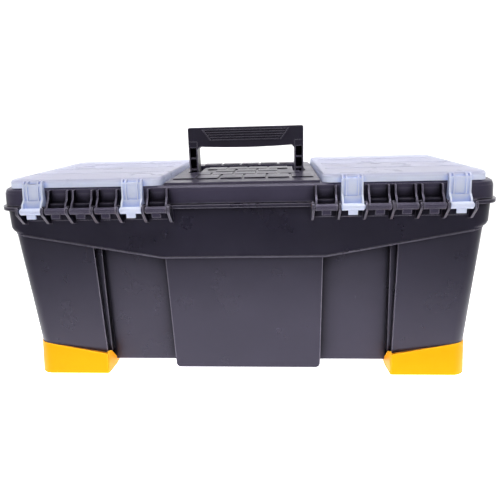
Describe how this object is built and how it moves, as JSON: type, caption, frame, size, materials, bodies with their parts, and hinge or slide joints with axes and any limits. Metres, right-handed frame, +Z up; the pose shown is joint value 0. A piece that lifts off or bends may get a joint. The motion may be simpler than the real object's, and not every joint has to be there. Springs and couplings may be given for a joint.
{
  "type": "toolbox",
  "caption": "Long plastic toolbox with corner feet, a lift-out tray, a hinged lid holding divided organiser bins under clear lids, and a fold-down carrying handle",
  "frame": {"origin": "on the ground, under the centre of the closed box with its handle up", "axes": "+X along the box to the right when seen from the hinge side, +Y from the hinge side to the latch side, +Z up"},
  "size_m": [0.618, 0.28, 0.328],
  "materials": {
    "body": "black polypropylene, fine moulded grain with a soft sheen",
    "handle": "black polypropylene, satin",
    "tray": "dark grey polypropylene, fine grain",
    "accent": "yellow polypropylene, satin",
    "clear": "milky translucent polypropylene",
    "pin": "plain drawn steel rod"
  },
  "bodies": {
    "base": {"tub": "body", "hinge_rack_left": "body", "hinge_rack_right": "body", "foot_hinge_side_left": "accent", "foot_hinge_side_right": "accent", "foot_latch_side_left": "accent", "foot_latch_side_right": "accent"},
    "lid": {"lid": "body", "organiser_bin_left": "body", "organiser_bin_right": "body", "latch_mount_left": "body", "latch_mount_right": "body", "handle_pin_left": "pin", "handle_pin_right": "pin", "latch_pin_left": "pin", "latch_pin_right": "pin", "divider_left_1": "tray", "divider_left_2": "tray", "divider_left_3": "tray", "divider_right_1": "tray", "divider_right_2": "tray", "divider_right_3": "tray"},
    "clear_lid_left": {"clear_lid_left": "clear"},
    "clear_lid_right": {"clear_lid_right": "clear"},
    "clip_left": {"clear_lid_clip_left": "clear"},
    "clip_right": {"clear_lid_clip_right": "clear"},
    "handle": {"handle": "handle"},
    "latch_left": {"latch_left": "accent"},
    "latch_right": {"latch_right": "accent"},
    "tray": {"tray": "tray", "tray_grip": "tray"}
  },
  "joints": [
    {"name": "lid_hinge", "type": "hinge", "parent": "base", "child": "lid", "pos_m": [0, -0.1335, 0.2365], "axis": [1, 0, 0], "range_deg": [0, 100]},
    {"name": "clear_lid_left_hinge", "type": "hinge", "parent": "lid", "child": "clear_lid_left", "pos_m": [-0.19, -0.1335, 0.2365], "axis": [1, 0, 0], "range_deg": [0, 110]},
    {"name": "clear_lid_right_hinge", "type": "hinge", "parent": "lid", "child": "clear_lid_right", "pos_m": [0.19, -0.1335, 0.2365], "axis": [1, 0, 0], "range_deg": [0, 110]},
    {"name": "clip_left_hinge", "type": "hinge", "parent": "clear_lid_left", "child": "clip_left", "pos_m": [-0.196, 0.1254, 0.2665], "axis": [1, 0, 0], "range_deg": [0, 90]},
    {"name": "clip_right_hinge", "type": "hinge", "parent": "clear_lid_right", "child": "clip_right", "pos_m": [0.196, 0.1254, 0.2665], "axis": [1, 0, 0], "range_deg": [0, 90]},
    {"name": "handle_hinge", "type": "hinge", "parent": "lid", "child": "handle", "pos_m": [0, 0.003, 0.25], "axis": [-1, 0, 0], "range_deg": [0, 90]},
    {"name": "latch_left_hinge", "type": "hinge", "parent": "lid", "child": "latch_left", "pos_m": [-0.146, 0.1316, 0.252], "axis": [1, 0, 0], "range_deg": [0, 100]},
    {"name": "latch_right_hinge", "type": "hinge", "parent": "lid", "child": "latch_right", "pos_m": [0.146, 0.1316, 0.252], "axis": [1, 0, 0], "range_deg": [0, 100]},
    {"name": "tray_lift", "type": "slide", "parent": "base", "child": "tray", "axis": [0, 0, 1], "range_m": [0, 0.08]}
  ],
  "couplings": [
    {"joint": "tray_lift", "follows": "lid_hinge", "m_per_rad": 0.0458}
  ]
}
